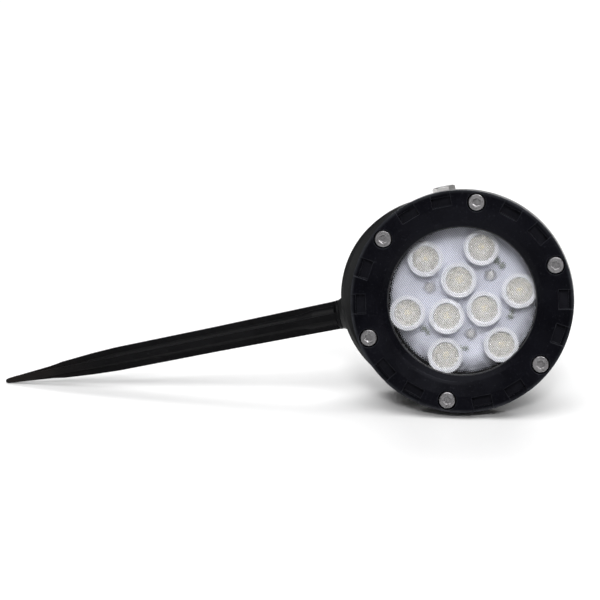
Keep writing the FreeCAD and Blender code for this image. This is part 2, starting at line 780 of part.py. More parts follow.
def make_gland_cap():
    """The domed cap nut that squeezes the seal."""
    body = new_body("gland_nut")
    tail = cell.gland_collar + cell.gland_neck
    mouth = cell.gland_collar + 0.6
    end = mouth + cell.gland_cap
    turned(body, "Dome", [
        (cell.cable_bore + 0.4, -end), (cell.gland_cap_radius - 3.2, -end),
        (cell.gland_cap_radius - 1.0, 2.2 - end),
        (cell.gland_cap_radius, 5.0 - end), (cell.gland_cap_radius, -mouth - 0.5),
        (cell.gland_cap_radius - 0.5, -mouth), (cell.gland_thread, -mouth), (cell.gland_thread, -tail),
        (cell.seal_radius, -tail), (cell.seal_radius, -tail - 2.5), (cell.cable_bore + 0.4, -tail - 2.5)])
    flute = new_sketch(body, "Flute", shift=(0, 0, -mouth - 0.8))
    ring(flute, 0.9, cell.gland_cap_radius + 0.4)
    cut = pocket(body, flute, 6.0)
    around(body, [cut], 12, "Flutes")
    return put(body, HEAD)


def make_gland_locknut():
    body = new_body("gland_locknut")
    flats = new_sketch(body, "Flats", shift=(0, 0, cell.floor_wall))
    hexagon(flats, cell.gland_flats)
    ring(flats, cell.gland_thread)
    pad(body, flats, 4.0)
    return put(body, HEAD)


# ---------------------------------------------------------------- tilt pivots

def boss_reaches():
    """How far the two boss faces stand from the head's axis, the upper one first."""
    inner = cell.yoke_half_span - cell.yoke_thick - cell.pivot_gap - cell.pivot_washer
    return inner + cell.yoke_offset, inner - cell.yoke_offset


def pivot_pair(label, section):
    """Two turned pieces on the tilt axis, mirror images that point away from each other."""
    body = new_body(label)
    for side, reach in zip((1, -1), boss_reaches()):
        corners = [(radius, (height + reach) * side) for radius, height in section]
        if side < 0:
            corners.reverse()
        name = "Upper" if side > 0 else "Lower"
        pivot_turn(body, name, corners)
    return body


def pivot_turn(body, name, corners):
    """A piece turned about the tilt axis, its outline given as radius and distance along it."""
    swapped = [(along, radius) for radius, along in corners]
    return turned(body, name, swapped, (0, cell.pivot_height, 0), plane="YZ_Plane", axis="H_Axis")


def make_pivot_inserts():
    return put(pivot_pair("pivot_inserts", [
        (cell.pivot_radius, -cell.pivot_insert_length),
        (cell.pivot_insert_radius, -cell.pivot_insert_length),
        (cell.pivot_insert_radius, 0), (cell.pivot_radius, 0)]), HEAD)


def make_pivot_washers():
    return put(pivot_pair("pivot_washers", [
        (cell.pivot_radius + 0.05, 0), (cell.boss_radius - 0.6, 0),
        (cell.boss_radius - 0.6, cell.pivot_washer),
        (cell.pivot_radius + 0.05, cell.pivot_washer)]), HEAD)


def make_pivot_bolts():
    """Two hexagon bolts that the yoke turns on, screwed into the housing's bosses."""
    seat = cell.pivot_washer + cell.yoke_thick + cell.pivot_gap * 2
    body = pivot_pair("pivot_bolts", [
        (0, seat - cell.pivot_reach), (cell.pivot_radius - 0.5, seat - cell.pivot_reach),
        (cell.pivot_radius, seat + 0.5 - cell.pivot_reach), (cell.pivot_radius, seat + 0.5),
        (0, seat + 0.5)])
    corner = cell.bolt_flats / 2 / math.cos(math.pi / 6)
    for side, reach in zip((1, -1), boss_reaches()):
        name = "UpperHead" if side > 0 else "LowerHead"
        flats = new_sketch(body, name, "XZ_Plane", (0, 0, (reach + seat) * -side))
        hexagon(flats, cell.bolt_flats, 0, cell.pivot_height)
        pad(body, flats, cell.bolt_head, backward=side > 0)
        # the head's corners are turned off in a cone
        top = seat + cell.bolt_head
        cone = [(corner - 0.9, top), (corner + 0.4, top), (corner + 0.4, top - 0.8)]
        cone = [((along + reach) * side, radius) for radius, along in cone]
        turned(body, name + "Cone", cone, (0, cell.pivot_height, 0), cut=True,
               plane="YZ_Plane", axis="H_Axis")
    return put(body, HEAD)


# ---------------------------------------------------------------- yoke

def make_yoke():
    """A flat band bent to a U, with round arm ends and a seat for the spike at its middle."""
    body = new_body("yoke")
    outer = cell.yoke_half_span
    inner = cell.yoke_half_span - cell.yoke_thick
    band = new_sketch(body, "Band")
    arm_end = cell.yoke_half_width
    edges = []
    # both sides of the band: straight arms joined by half a circle, the inner one a little less deep
    for radius, throw in ((outer, cell.yoke_throw), (inner, cell.yoke_inner_throw)):
        for side in (1, -1):
            start = FreeCAD.Vector(-throw.value, side * radius.value, 0)
            end = FreeCAD.Vector(arm_end.value, side * radius.value, 0)
            edges.append(band.addGeometry(Part.LineSegment(start, end), False))
            fix_point(band, edges[-1], 1, -throw, radius * side)
            fix_point(band, edges[-1], 2, arm_end, radius * side)
        circle = Part.Circle(FreeCAD.Vector(-throw.value, 0, 0), FreeCAD.Vector(0, 0, 1), radius.value)
        arc = band.addGeometry(Part.ArcOfCircle(circle, math.pi / 2, math.pi * 1.5), False)
        band.addConstraint(Sketcher.Constraint("Coincident", arc, 1, edges[-2], 1))
        band.addConstraint(Sketcher.Constraint("Coincident", arc, 2, edges[-1], 1))
        hold(band, Sketcher.Constraint("DistanceX", -1, 1, arc, 3, -throw.value), -throw)
    for outside, inside in ((edges[0], edges[2]), (edges[1], edges[3])):
        ends = [band.getPoint(outside, 2), band.getPoint(inside, 2)]
        cap = band.addGeometry(Part.LineSegment(*ends), False)
        band.addConstraint(Sketcher.Constraint("Coincident", cap, 1, outside, 2))
        band.addConstraint(Sketcher.Constraint("Coincident", cap, 2, inside, 2))
    pad(body, band, cell.yoke_half_width * 2, both_ways=True)
    # the arm ends are rounded about the tilt axis
    ends = new_sketch(body, "ArmEnd", "XZ_Plane")
    width = cell.yoke_half_width
    circle = Part.Circle(FreeCAD.Vector(0, 0, 0), FreeCAD.Vector(0, 0, 1), width.value)
    arc = ends.addGeometry(Part.ArcOfCircle(circle, -math.pi / 2, math.pi / 2), False)
    ends.addConstraint(Sketcher.Constraint("DistanceX", -1, 1, arc, 3, 0.0))
    corners = [(0.0, width), (0.0, width + 2), (width + 3, width + 2), (width + 3, -width - 2),
               (0.0, -width - 2), (0.0, -width)]
    places = [FreeCAD.Vector(number(a), number(b), 0) for a, b in corners]
    lines = [ends.addGeometry(Part.LineSegment(a, b), False) for a, b in zip(places, places[1:])]
    for line, (across, along) in zip(lines, corners):
        fix_point(ends, line, 1, across, along)
    fix_point(ends, lines[-1], 2, *corners[-1])
    for line, after in zip(lines, lines[1:]):
        ends.addConstraint(Sketcher.Constraint("Coincident", line, 2, after, 1))
    ends.addConstraint(Sketcher.Constraint("Coincident", arc, 2, lines[0], 1))
    ends.addConstraint(Sketcher.Constraint("Coincident", arc, 1, lines[-1], 2))
    pocket(body, ends, 200.0, both_ways=True)

    def outside(point):
        from_middle = math.hypot(point.x + cell.yoke_throw.value, point.y)
        on_arc = point.x < -cell.yoke_throw.value and abs(from_middle - outer.value) < 1e-3
        return on_arc or abs(abs(point.y) - outer.value) < 1e-3

    def outer_edge(edge):
        middle_point = edge.valueAt((edge.FirstParameter + edge.LastParameter) / 2)
        flat = abs(edge.BoundBox.ZLength) > 1e-3 and middle_point.x < 0
        ends = [edge.Vertexes[0].Point, edge.Vertexes[-1].Point]
        return not flat and all(outside(v) for v in ends + [middle_point])

    rounded(body, "Bevel", cell.yoke_bevel, outer_edge, "PartDesign::Chamfer")
    # a short cone under the spike and a flat inside for its bolt
    base = cell.yoke_throw + outer
    tip = base + cell.root_boss_height
    turned(body, "RootBoss", [
        (1.5 - base, 0), (-tip, 0), (-tip, cell.root_boss_radius - 0.7), (-base, cell.root_boss_radius),
        (1.5 - base, cell.root_boss_radius)], plane="XY_Plane", axis="H_Axis")
    floor = cell.yoke_inner_throw + inner + 0.1
    turned(body, "SpotFace", [
        (-floor, 0), (-floor, 6.0), (4.0 - floor, 6.0), (4.0 - floor, 0)],
        cut=True, plane="XY_Plane", axis="H_Axis")
    hole = new_sketch(body, "PivotHole", "XZ_Plane")
    ring(hole, cell.pivot_radius + cell.pivot_clearance)
    pocket(body, hole, 200.0, both_ways=True)
    turned(body, "SpikeHole", [
        (-tip - 1, 0), (-tip - 1, cell.spike_bolt_radius + cell.pivot_clearance),
        (1.0 - floor, cell.spike_bolt_radius + cell.pivot_clearance), (1.0 - floor, 0)],
        cut=True, plane="XY_Plane", axis="H_Axis")
    return put(body, YOKE)


# ---------------------------------------------------------------- ground spike

# the spike's outline from its root: how far along, and its half width there
def spike_outline():
    length = cell.spike_length
    return [(0.0, cell.spike_half_root), (cell.spike_length * 0.37, cell.spike_half_root * 0.88),
            (length - 59.0, cell.spike_half_root * 0.835), (length - 46.5, cell.spike_half_root * 0.75),
            (length - 31.0, cell.spike_half_root * 0.58), (length - 24.5, cell.spike_half_root * 0.44),
            (length - 1.4, 1.2), (length - 0.4, 0.7)]


def make_spike():
    """A stake of cross section: two crossed blades round a tapered core, with a round root."""
    body = new_body("ground_spike")
    blade = spike_outline()
    for name, plane in (("BladeAcross", "YZ_Plane"), ("BladeFront", "XZ_Plane")):
        sketch = new_sketch(body, name, plane)
        outline(sketch, blade_corners(blade))
        pad(body, sketch, cell.fin_thick, both_ways=True)
    length = cell.spike_length
    turned(body, "Core", [
        (0, 0), (cell.spike_half_root + 0.3, 0), (cell.spike_half_root + 0.3, 1.0),
        (cell.spike_socket_radius, 2.6),
        (cell.spike_socket_radius, 14), (4.1, 22), (3.5, length - 59.0), (1.9, length - 24.5),
        (1.3, length - 2.2),
        (0.95, length - 0.9), (0, length)])
    turned(body, "Socket", [
        (0, -1), (cell.spike_insert_radius, -1), (cell.spike_insert_radius, cell.spike_insert_length + 0.5),
        (0, cell.spike_insert_length + 0.5)], cut=True)
    # the last stretch of the blades tapers with the core to a small round point
    turned(body, "Point", [
        (3.75, length - 26), (1.3, length - 2.2), (0.95, length - 0.9), (0.5, length - 0.2), (0, length),
        (0, length + 2), (12, length + 2), (12, length - 26)], cut=True)
    return put(body, SPIKE)


def blade_corners(half):
    """Both sides of the blade, from the half widths along it."""
    right = [(width, along) for along, width in half]
    left = [(-width, along) for along, width in reversed(half)]
    return right + left


def make_spike_insert():
    body = new_body("spike_insert")
    turned(body, "Sleeve", [
        (cell.spike_bolt_radius, 0), (cell.spike_insert_radius, 0),
        (cell.spike_insert_radius, cell.spike_insert_length),
        (cell.spike_bolt_radius, cell.spike_insert_length)])
    return put(body, SPIKE)


def spike_seat():
    """How far behind the spike's root the yoke's inside seat lies."""
    base_thick = cell.yoke_throw - cell.yoke_inner_throw + cell.yoke_thick
    return base_thick + cell.root_boss_height + cell.pivot_gap - 0.1


def make_spike_washer():
    body = new_body("spike_washer")
    seat = spike_seat() + cell.pivot_gap
    turned(body, "Flat", [
        (cell.spike_bolt_radius, -seat), (5.4, -seat), (5.4, -seat - 1.0),
        (cell.spike_bolt_radius, -seat - 1.0)])
    return put(body, SPIKE)


def make_spike_bolt():
    """The bolt that the yoke swivels on, its head inside the U."""
    body = new_body("spike_bolt")
    seat = spike_seat() + cell.pivot_gap + 1.0
    turned(body, "Shank", [
        (0, -seat), (cell.spike_bolt_radius, -seat), (cell.spike_bolt_radius, 7.6),
        (cell.spike_bolt_radius - 0.4, 8.0), (0, 8.0)])
    flats = new_sketch(body, "Head", shift=(0, 0, -seat))
    hexagon(flats, cell.spike_bolt_flats)
    pad(body, flats, cell.spike_bolt_head, backward=True)
    return put(body, SPIKE)


# ---------------------------------------------------------------- assembly

make_housing()
make_bezel()
make_bezel_screws()
make_threaded_inserts()
make_glass()
make_gasket()
soft_ring("housing_oring", cell.ring_inner, cell.ring_outer, cell.flange_front - cell.ring_groove,
          cell.face_height - cell.lip_height - cell.gasket_thick - cell.glass_thick, HEAD)
make_spreader()
make_board()
make_board_screws()
board_top = (cell.ledge_height + cell.spreader_thick + cell.board_thick).value
for lamp, (across, along) in enumerate(led_places(), start=1):
    make_chip(lamp, (across, along, board_top))
    make_holder(lamp, (across, along, board_top))
    make_lens(lamp, (across, along, board_top))
make_driver_board()
make_driver_spacers()
make_inductor()
make_capacitor()
make_rectifier()
make_lead_wires()
make_gland_body()
soft_ring("gland_oring", cell.gland_thread + 0.6, cell.gland_thread + 2.4, 0.0, 1.2, HEAD)
make_gland_seal()
make_gland_cap()
make_gland_locknut()
make_pivot_inserts()
make_pivot_washers()
make_pivot_bolts()
make_yoke()
make_spike()
make_spike_insert()
make_spike_washer()
make_spike_bolt()
doc.recompute()

# the light is set down with its lowest point on the ground and its box centred on the origin
whole = FreeCAD.BoundBox()
for body in made:
    whole.add(body.Shape.optimalBoundingBox(False, False))
drop = FreeCAD.Vector(-whole.Center.x, -whole.Center.y, -whole.ZMin)
for body in made:
    body.Placement = FreeCAD.Placement(drop, FreeCAD.Rotation()).multiply(body.Placement)
doc.recompute()

for item in doc.Objects:
    if "Invalid" in item.State or "Error" in item.State:
        raise RuntimeError("%s failed: %s" % (item.Name, item.State))
for body in made:
    shape = body.Shape
    if shape.isNull() or not shape.isValid():
        raise RuntimeError("%s has no good shape" % body.Label)
    shape.exportStep("parts/%s.step" % body.Label)
    print("%-18s solids %2d  volume %10.1f" % (body.Label, len(shape.Solids), shape.Volume))
print("pieces:", len(made))
print("box:", whole.XLength, whole.YLength, whole.ZLength)
print("moved by:", drop)
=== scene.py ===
import json
import math

import bmesh
import bpy
from mathutils import Matrix, Vector


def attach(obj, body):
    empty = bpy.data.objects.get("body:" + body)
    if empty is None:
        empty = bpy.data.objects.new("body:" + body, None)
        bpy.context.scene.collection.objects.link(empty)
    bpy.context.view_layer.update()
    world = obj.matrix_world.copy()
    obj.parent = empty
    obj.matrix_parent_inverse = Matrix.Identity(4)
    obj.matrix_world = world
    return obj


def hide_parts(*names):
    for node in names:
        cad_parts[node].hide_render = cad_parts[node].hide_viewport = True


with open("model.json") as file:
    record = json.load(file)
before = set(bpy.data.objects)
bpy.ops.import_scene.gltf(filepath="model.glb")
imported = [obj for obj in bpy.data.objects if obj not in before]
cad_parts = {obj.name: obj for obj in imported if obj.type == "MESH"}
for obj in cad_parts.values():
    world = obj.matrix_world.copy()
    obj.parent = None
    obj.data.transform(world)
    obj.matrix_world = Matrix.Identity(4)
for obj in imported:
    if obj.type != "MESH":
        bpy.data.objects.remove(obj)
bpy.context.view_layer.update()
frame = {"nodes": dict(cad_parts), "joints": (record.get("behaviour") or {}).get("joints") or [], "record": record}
nodes = frame["nodes"]
scene = bpy.context.scene

# ---------------------------------------------------------------- the lamp head's own directions
joints = {j["name"]: j for j in frame["joints"]}
HEAD_Y = Vector(joints["head_tilt"]["axis"]).normalized()      # along the tilt bolts
HEAD_X = Vector(joints["spike_swivel"]["axis"]).normalized()   # away from the spike
HEAD_Z = HEAD_X.cross(HEAD_Y).normalized()                     # out through the glass
HEAD_AXES = (HEAD_X, HEAD_Y, HEAD_Z)


def along(node, axis):
    """Lowest and highest place of a CAD node along an axis."""
    places = [v.co.dot(axis) for v in nodes[node].data.vertices]
    return min(places), max(places)


def half(span):
    return (span[1] - span[0]) / 2


# Lengths are in metres.
glass_spans = [along("front_glass", axis) for axis in HEAD_AXES]
GLASS_MIDDLE = sum((axis * (low + high) / 2 for axis, (low, high) in zip(HEAD_AXES, glass_spans)), Vector())
GLASS_RADIUS = half(glass_spans[0])
GLASS_HALF = half(glass_spans[2])            # half its thickness
GLASS_CHAMFER = 0.0005
GLASS_SIDES = 128
PRISM_PITCH = 0.00110                        # side of one pressed dimple
PRISM_DEPTH = 0.00007
PRISM_REACH = 0.0365                         # the dimples stop at this radius
BEZEL_RADIUS = half(along("bezel_ring", HEAD_X))
BEZEL_FRONT = along("bezel_ring", HEAD_Z)[1]
BOARD_TOP = along("led_board", HEAD_Z)[1] - GLASS_MIDDLE.dot(HEAD_Z)
WIRE_TOP = along("lead_wires", HEAD_Z)[1] - GLASS_MIDDLE.dot(HEAD_Z)
SPIKE_POINT = along("ground_spike", HEAD_X)[0]
LENS_COUNT = 9


# ---------------------------------------------------------------- material building blocks
BEVEL_SAMPLES = 8
FLAT, SHARP = 0.99, 0.78                     # how far a rounded normal agrees with the true one, on faces and on edges


class Shader:
    """One material: its Principled node, and short ways to add pattern nodes to it.

    Scales of patterns are per metre.
    """

    def __init__(self, name, color, roughness, metallic=0.0, specular=0.5):
        self.material = bpy.data.materials.new(name)
        self.material.use_nodes = True
        self.tree = self.material.node_tree
        self.tree.nodes.clear()
        self.out = self.tree.nodes.new("ShaderNodeOutputMaterial")
        self.main = self.tree.nodes.new("ShaderNodeBsdfPrincipled")
        self.link(self.main.outputs["BSDF"], self.out.inputs["Surface"])
        self.set("Base Color", (*color, 1.0))
        self.set("Roughness", roughness)
        self.set("Metallic", metallic)
        self.set("Specular IOR Level", specular)
        self.place = self.node("ShaderNodeTexCoord").outputs["Object"]
        self.normal = None

    def set(self, key, value):
        self.main.inputs[key].default_value = value

    def link(self, start, end):
        self.tree.links.new(start, end)

    def node(self, kind, inputs=None, **settings):
        made = self.tree.nodes.new(kind)
        for key, value in settings.items():
            setattr(made, key, value)
        for key, value in (inputs or {}).items():
            if isinstance(value, bpy.types.NodeSocket):
                self.link(value, made.inputs[key])
            else:
                made.inputs[key].default_value = value
        return made

    def stretched(self, scale, turn):
        return self.node("ShaderNodeMapping", {"Vector": self.place, "Scale": scale, "Rotation": turn}).outputs[0]

    def noise(self, scale, detail=3.0, rough=0.5, vector=None):
        inputs = {"Vector": vector or self.place, "Scale": scale, "Detail": detail, "Roughness": rough}
        return self.node("ShaderNodeTexNoise", inputs).outputs["Fac"]

    def cells(self, scale, randomness):
        inputs = {"Vector": self.place, "Scale": scale, "Randomness": randomness}
        return self.node("ShaderNodeTexVoronoi", inputs, feature="F1").outputs["Distance"]

    def span(self, value, low, high, to_low=0.0, to_high=1.0):
        """Spreads the values from low to high over to_low to to_high."""
        inputs = {"Value": value, "From Min": low, "From Max": high, "To Min": to_low, "To Max": to_high}
        return self.node("ShaderNodeMapRange", inputs, clamp=True).outputs[0]

    def math(self, how, a, b=0.0):
        return self.node("ShaderNodeMath", {0: a, 1: b}, operation=how).outputs[0]

    def times(self, a, b):
        return self.math("MULTIPLY", a, b)

    def dot(self, a, b):
        return self.node("ShaderNodeVectorMath", {0: a, 1: b}, operation="DOT_PRODUCT").outputs["Value"]

    def mix(self, share, a, b):
        """Colour a where the share is 0, colour b where it is 1."""
        made = self.node("ShaderNodeMix", data_type="RGBA")
        share_input, a_input, b_input = made.inputs[0], made.inputs[6], made.inputs[7]
        self.link(share, share_input)
        for value, held in ((a, a_input), (b, b_input)):
            if isinstance(value, bpy.types.NodeSocket):
                self.link(value, held)
            else:
                held.default_value = (*value, 1.0)
        return made.outputs[2]

    def bump(self, height, distance, strength=1.0):
        """Adds a relief of the given depth on top of the earlier ones."""
        made = self.node("ShaderNodeBump", {"Height": height, "Distance": distance, "Strength": strength})
        if self.normal is not None:
            self.link(self.normal, made.inputs["Normal"])
        self.normal = made.outputs[0]
        self.link(self.normal, self.main.inputs["Normal"])

    def edges(self, radius):
        """0 on flat faces and up to 1 on sharp edges, where handling wears the surface and where the materials paint a
        highlight.
        """
        bevel = self.node("ShaderNodeBevel", {"Radius": radius}, samples=BEVEL_SAMPLES)
        shape = self.node("ShaderNodeNewGeometry")
        if self.normal is None:
            self.normal = bevel.outputs[0]
        return self.span(self.dot(bevel.outputs[0], shape.outputs["Normal"]), FLAT, SHARP)

    def across_head(self):
        """Distances from the glass's middle along the head's two flat directions."""
        inputs = {0: self.place, 1: GLASS_MIDDLE}
        offset = self.node("ShaderNodeVectorMath", inputs, operation="SUBTRACT").outputs[0]
        return self.dot(offset, HEAD_X), self.dot(offset, HEAD_Y)

    def head_radius(self, side, height):
        """Distance from the glass's middle, from the two distances of across_head."""
        return self.math("SQRT", self.math("ADD", self.times(side, side), self.times(height, height)))

    def color(self, socket):
        self.link(socket, self.main.inputs["Base Color"])

    def paint_over(self, share, color):
        """Lays a colour over the present one, fully where the share is 1."""
        self.color(self.mix(share, self.main.inputs["Base Color"].links[0].from_socket, color))

    def roughness(self, socket):
        self.link(socket, self.main.inputs["Roughness"])


def moulded(name, dark, light, dust_scuff_glint_color, rough, grain=0.000012, edge=0.00035, specular=0.5, edge_breakup=(0.38, 0.66)):
    """Moulded plastic: uneven colour, fine grain, a few scratches, and paler edges, partly scuffing and partly a
    painted highlight.
    """
    s = Shader(name, dark, rough[0], specular=specular)
    edge_mask = s.edges(edge)
    base = s.mix(s.span(s.noise(38.0, 4.0, 0.55), 0.35, 0.68), dark, light)
    spots = s.span(s.noise(900.0, 2.0, 0.6), 0.62, 0.74)
    dusty = s.mix(s.times(spots, 0.25), base, dust_scuff_glint_color)
    # Paler edges: partly scuffing, partly a painted highlight standing in for glints on the edges.
    scuffed_glinting_edges = s.times(edge_mask, s.span(s.noise(160.0, 3.0, 0.6), *edge_breakup))
    s.color(s.mix(s.times(scuffed_glinting_edges, 0.8), dusty, dust_scuff_glint_color))
    lines = s.noise(60.0, 2.0, 0.5, s.stretched((1.0, 22.0, 5.0), (0.4, 0.3, 0.9)))
    more_lines = s.noise(70.0, 2.0, 0.5, s.stretched((18.0, 1.0, 4.0), (0.2, 0.7, 0.35)))
    scratch = s.math("MAXIMUM", s.span(lines, 0.66, 0.70), s.span(more_lines, 0.67, 0.71))
    wander = s.span(s.noise(75.0, 3.0, 0.6), 0.3, 0.7, *rough)
    s.roughness(s.math("ADD", wander, s.times(scratch, 0.05)))
    s.bump(s.noise(2600.0, 2.0, 0.6), grain)
    s.bump(s.noise(240.0, 2.0, 0.5), grain * 1.6)
    s.bump(s.span(scratch, 0.0, 1.0, 1.0, 0.0), 0.000003)
    return s


def turned_metal(name, color, dull, rough):
    """Machined metal: fine grain, faint stains, and edges painted brighter as a highlight."""
    s = Shader(name, color, rough[0], metallic=1.0)
    edge_mask = s.edges(0.0002)
    patches = s.noise(420.0, 4.0, 0.6)
    base = s.mix(s.times(s.span(patches, 0.40, 0.70), 0.3), color, dull)
    # Painted highlight: edges coloured up to 1.7 times brighter than the metal.
    s.color(s.mix(s.times(edge_mask, 0.8), base, tuple(min(1.0, c * 1.7) for c in color)))
    fine = s.noise(3500.0, 2.0, 0.6)
    s.roughness(s.span(s.math("ADD", s.times(patches, 0.6), s.times(fine, 0.4)), 0.3, 0.7, *rough))
    s.bump(fine, 0.000008)
    s.bump(s.noise(900.0, 3.0, 0.6), 0.000010)
    return s


def lets_light_in(s, tint=(1.0, 1.0, 1.0)):
    """Makes a glass material pass the lamps' light straight through, so that what lies behind it is lit."""
    path = s.node("ShaderNodeLightPath")
    clear = s.node("ShaderNodeBsdfTransparent", {"Color": (*tint, 1.0)})
    both = s.node("ShaderNodeMixShader", {0: path.outputs["Is Shadow Ray"]})
    s.link(s.main.outputs["BSDF"], both.inputs[1])
    s.link(clear.outputs[0], both.inputs[2])
    s.link(both.outputs[0], s.out.inputs["Surface"])


# ---------------------------------------------------------------- the materials, by slot
looks = {}

# slot, name, dark and light of its uneven colour, colour of its dust spots and of its paler edges (scuffing and
# painted highlight), least and most roughness, the rest
PLASTICS = (
    ("black_plastic", "Black moulded plastic", (0.0022, 0.0022, 0.0034), (0.0046, 0.0046, 0.0068),
     (0.042, 0.044, 0.053), (0.20, 0.34), dict(edge=0.0006, specular=0.055, edge_breakup=(0.20, 0.55))),
    ("yoke_black", "Black yoke plastic", (0.0054, 0.0056, 0.0060), (0.0092, 0.0095, 0.0100),
     (0.045, 0.046, 0.05), (0.40, 0.55), dict(edge=0.0004, specular=0.26)),
    ("spike_black", "Black spike plastic", (0.0026, 0.0026, 0.0030), (0.0048, 0.0048, 0.0054),
     (0.030, 0.030, 0.032), (0.32, 0.46), dict(edge=0.0003, specular=0.08)),
    ("gland_black", "Black gland nylon", (0.010, 0.010, 0.011), (0.016, 0.016, 0.017),
     (0.06, 0.06, 0.06), (0.24, 0.36), dict(edge=0.0003)),
    ("black_rubber", "Black seal rubber", (0.012, 0.012, 0.012), (0.022, 0.021, 0.020),
     (0.06, 0.06, 0.06), (0.62, 0.80), dict(edge=0.0002)),
    ("gasket_grey", "Silicone seal", (0.014, 0.014, 0.016), (0.028, 0.028, 0.030),
     (0.09, 0.09, 0.10), (0.22, 0.4), {}),
    ("nylon", "Natural nylon", (0.72, 0.70, 0.64), (0.80, 0.78, 0.72), (0.86, 0.85, 0.82), (0.38, 0.5), {}),
    ("holder_white", "White lens holder nylon", (0.72, 0.72, 0.75), (0.80, 0.80, 0.83),
     (0.88, 0.88, 0.90), (0.20, 0.34), dict(grain=0.000005)),
    ("circuit_green", "Circuit board mask", (0.012, 0.10, 0.035), (0.02, 0.15, 0.05),
     (0.20, 0.30, 0.15), (0.22, 0.36), {}),
    ("ferrite", "Ferrite", (0.035, 0.035, 0.04), (0.055, 0.055, 0.06), (0.12, 0.12, 0.12), (0.55, 0.7), {}),
    ("capacitor_sleeve", "Capacitor sleeve", (0.010, 0.018, 0.055), (0.015, 0.028, 0.075),
     (0.10, 0.12, 0.2), (0.2, 0.32), {}),
    ("black_epoxy", "Black epoxy package", (0.016, 0.016, 0.016), (0.024, 0.024, 0.024),
     (0.08, 0.08, 0.08), (0.42, 0.56), {}),
    ("wire_red", "Red wire insulation", (0.36, 0.02, 0.015), (0.46, 0.03, 0.02),
     (0.55, 0.12, 0.1), (0.3, 0.42), {}),
)
for slot, name, dark, light, dust_scuff_glint_color, rough, rest in PLASTICS:
    looks[slot] = moulded(name, dark, light, dust_scuff_glint_color, rough, **rest)

# slot, name, colour, colour of its stains, least and most roughness
METALS = (
    ("stainless", "Stainless screw steel", (0.42, 0.41, 0.42), (0.20, 0.19, 0.20), (0.20, 0.38)),
    ("bright_bolt", "Bright bolt steel", (0.70, 0.69, 0.68), (0.48, 0.47, 0.46), (0.34, 0.48)),
    ("brass", "Brass", (0.72, 0.52, 0.24), (0.42, 0.29, 0.13), (0.25, 0.42)),
    ("aluminium", "Turned aluminium", (0.74, 0.74, 0.75), (0.50, 0.50, 0.52), (0.28, 0.46)),
)
for slot, *look in METALS:
    looks[slot] = turned_metal(*look)
solder = turned_metal("Solder", (0.36, 0.38, 0.35), (0.20, 0.21, 0.19), (0.35, 0.5))

# The housing behind the bezel has come out of its mould a little glossier.
housing = moulded("Black housing plastic", (0.0030, 0.0030, 0.0040), (0.0060, 0.0060, 0.0076),
                  (0.060, 0.062, 0.070), (0.26, 0.40), edge=0.0006, specular=0.30, edge_breakup=(0.20, 0.55))

# A painted highlight runs round the bezel's outer edge, and painted light makes its pockets' floors paler against
# their shade.
RIM_HIGHLIGHT_STARTS, RIM_HIGHLIGHT_FULL = BEZEL_RADIUS - 0.0016, BEZEL_RADIUS - 0.0004
POCKET_LIGHT_STARTS, POCKET_LIGHT_FULL = 0.0030, 0.0040             # depths below the bezel's front
POCKET_LIGHT_FADES, POCKET_LIGHT_ENDS = 0.0048, 0.0052
POCKET_LIGHT_INSIDE, POCKET_LIGHT_OUTSIDE = BEZEL_RADIUS - 0.0026, BEZEL_RADIUS - 0.0022
bezel = looks["black_plastic"]
bezel.set("Specular Tint", (0.86, 0.88, 1.0, 1.0))
radius = bezel.head_radius(*bezel.across_head())
# Painted highlight: a paler band round the bezel's outer edge, broken up by noise.
rim_highlight = bezel.times(bezel.span(radius, RIM_HIGHLIGHT_STARTS, RIM_HIGHLIGHT_FULL),
                     bezel.span(bezel.noise(70.0, 4.0, 0.6), 0.30, 0.65, 0.15, 0.75))
bezel.paint_over(rim_highlight, (0.040, 0.042, 0.048))
depth = bezel.math("SUBTRACT", BEZEL_FRONT, bezel.dot(bezel.place, HEAD_Z))
# Painted light: the pockets' floors are coloured paler, lifting the shade in these recesses.
pocket_light = bezel.times(bezel.span(depth, POCKET_LIGHT_STARTS, POCKET_LIGHT_FULL), bezel.span(depth, POCKET_LIGHT_ENDS, POCKET_LIGHT_FADES))
pocket_light = bezel.times(pocket_light, bezel.span(radius, POCKET_LIGHT_OUTSIDE, POCKET_LIGHT_INSIDE))
pocket_light = bezel.times(pocket_light, bezel.span(bezel.noise(110.0, 4.0, 0.6), 0.3, 0.7, 0.5, 1.0))
bezel.paint_over(pocket_light, (0.016, 0.016, 0.021))

# Dry earth has stained the spike's point a little brown.
STAIN_STARTS, STAIN_FULL = SPIKE_POINT + 0.050, SPIKE_POINT + 0.004
spike = looks["spike_black"]
earth = spike.times(spike.span(spike.dot(spike.place, HEAD_X), STAIN_STARTS, STAIN_FULL),
                    spike.span(spike.noise(95.0, 4.0, 0.6), 0.30, 0.70, 0.25, 0.9))
spike.paint_over(earth, (0.0175, 0.0145, 0.0130))

# The light board's white mask, with fine tracks standing under it.
board = looks["board_white"] = Shader("White board mask", (0.66, 0.67, 0.75), 0.35)
tracks = board.node("ShaderNodeTexBrick", {"Vector": board.stretched((1, 1, 1), (0.2, 0.1, 0.7)), "Scale": 90.0,
                                           "Mortar Size": 0.035}).outputs["Fac"]
board.color(board.mix(board.span(board.noise(48.0, 3.0, 0.5), 0.38, 0.62), (0.61, 0.615, 0.68), (0.76, 0.77, 0.85)))
